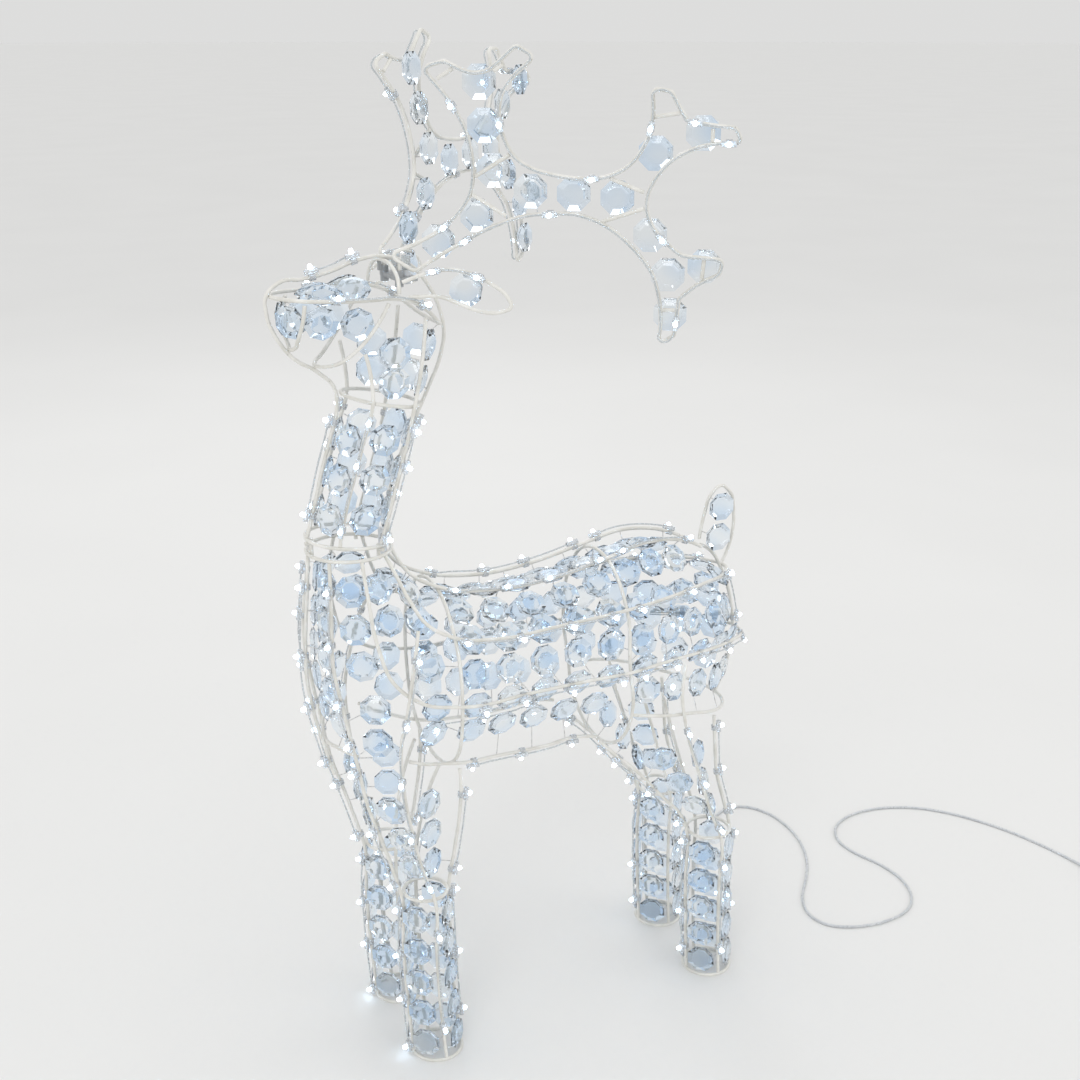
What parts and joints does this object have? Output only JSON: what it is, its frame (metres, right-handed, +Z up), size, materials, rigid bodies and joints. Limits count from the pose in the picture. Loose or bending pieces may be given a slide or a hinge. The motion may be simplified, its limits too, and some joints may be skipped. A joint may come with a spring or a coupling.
{
  "type": "light up yard reindeer",
  "caption": "Standing wire frame reindeer hung with faceted crystal discs and clipped lamps, with lift off head and antlers and a low voltage lead.",
  "frame": {"origin": "on the floor, under the middle of the deer's bounding box without its lead", "axes": "+Z up, -X towards the deer's nose, -Y towards its left flank"},
  "size_m": [1.3031, 0.474, 1.1195],
  "materials": {
    "white_wire": "satin white paint",
    "crystal_disc": "clear faceted acrylic",
    "tie_wire": "bright",
    "clip_plastic": "translucent white",
    "lamp_lens": "clear lens, lit cool white",
    "string_cable": "clear jacket",
    "bracket_plastic": "translucent grey",
    "connector_plastic": "white",
    "lead_cable": "clear to white jacket",
    "adapter_case": "white, fine grain",
    "board": "green board",
    "plug_pin": "nickel plated"
  },
  "bodies": {
    "trunk": {"spine_wires": "white_wire", "upper_flank_wire": "white_wire", "lower_flank_wire": "white_wire", "belly_wires": "white_wire", "chest_wire": "white_wire", "rump_wires": "white_wire", "tail_frame": "white_wire", "trunk_ribs": "white_wire", "front_leg_wires": "white_wire", "rear_leg_wires": "white_wire", "neck_seat_ring": "white_wire", "foot_rings": "white_wire", "knee_rings": "white_wire", "neck_posts": "white_wire", "neck_socket": "connector_plastic", "flank_discs": "crystal_disc", "chest_discs": "crystal_disc", "leg_discs": "crystal_disc", "back_discs": "crystal_disc", "trunk_disc_ties": "tie_wire", "trunk_lamp_clips": "clip_plastic", "trunk_lamps": "lamp_lens", "trunk_light_string": "string_cable", "lead_joint": "string_cable", "lead_cord": "lead_cable", "lead_coil": "lead_cable", "adapter_lower_case": "adapter_case", "adapter_upper_case": "adapter_case", "adapter_board": "board", "adapter_prongs": "plug_pin", "lead_strain_relief": "adapter_case"},
    "head": {"head_profile_wire": "white_wire", "head_side_wire": "white_wire", "cheek_wires": "white_wire", "brow_wire": "white_wire", "neck_wires": "white_wire", "ear_frames": "white_wire", "neck_ring": "white_wire", "throat_ring": "white_wire", "antler_bracket": "bracket_plastic", "neck_plug": "connector_plastic", "antler_sockets": "connector_plastic", "head_discs": "crystal_disc", "head_disc_ties": "tie_wire", "head_lamp_clips": "clip_plastic", "head_lamps": "lamp_lens", "head_light_string": "string_cable"},
    "antler_left": {"antler_left_frame": "white_wire", "antler_left_discs": "crystal_disc", "antler_left_disc_ties": "tie_wire", "antler_left_lamp_clips": "clip_plastic", "antler_left_lamps": "lamp_lens", "antler_left_light_string": "string_cable"},
    "antler_right": {"antler_right_frame": "white_wire", "antler_right_discs": "crystal_disc", "antler_right_disc_ties": "tie_wire", "antler_right_lamp_clips": "clip_plastic", "antler_right_lamps": "lamp_lens", "antler_right_light_string": "string_cable"}
  },
  "joints": [
    {"name": "head_lift", "type": "slide", "parent": "trunk", "child": "head", "axis": [0, 0, 1], "range_m": [0, 0.12]},
    {"name": "antler_left_lift", "type": "slide", "parent": "head", "child": "antler_left", "axis": [0, 0, 1], "range_m": [0, 0.028]},
    {"name": "antler_right_lift", "type": "slide", "parent": "head", "child": "antler_right", "axis": [0, 0, 1], "range_m": [0, 0.028]}
  ]
}
